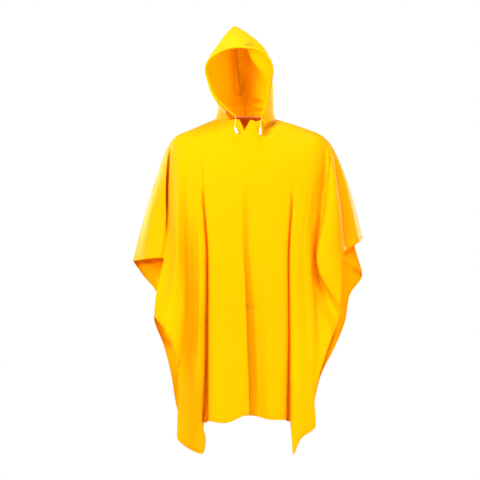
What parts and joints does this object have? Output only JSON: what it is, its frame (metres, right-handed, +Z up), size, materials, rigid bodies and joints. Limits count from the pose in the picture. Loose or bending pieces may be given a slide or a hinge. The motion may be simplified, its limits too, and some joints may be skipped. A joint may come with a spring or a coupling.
{
  "type": "rain poncho",
  "caption": "Hooded rain poncho of thin coated cloth, hanging as worn over an empty hollow, open at the face, neck, sides and hem, with a drawstring in the hood's edge.",
  "frame": {"origin": "middle of the neck opening, at the height where the wearer's shoulders carry the cloth", "axes": "+Z up, -Y towards the front of the garment, +X towards the wearer's left, which is the viewer's right from the front"},
  "size_m": [0.802, 0.3743, 1.495],
  "materials": {
    "yellow_cloth": "smooth coated rain cloth with a soft sheen",
    "white_cord": "thin white cord",
    "white_plastic": "smooth moulded cord end"
  },
  "bodies": {
    "root": {"front_panel": "yellow_cloth", "back_panel": "yellow_cloth", "hood_right": "yellow_cloth", "hood_left": "yellow_cloth", "hood_casing": "yellow_cloth", "drawstring_right": "white_cord", "drawstring_left": "white_cord", "cord_end_right": "white_plastic", "cord_end_left": "white_plastic"}
  },
  "joints": []
}
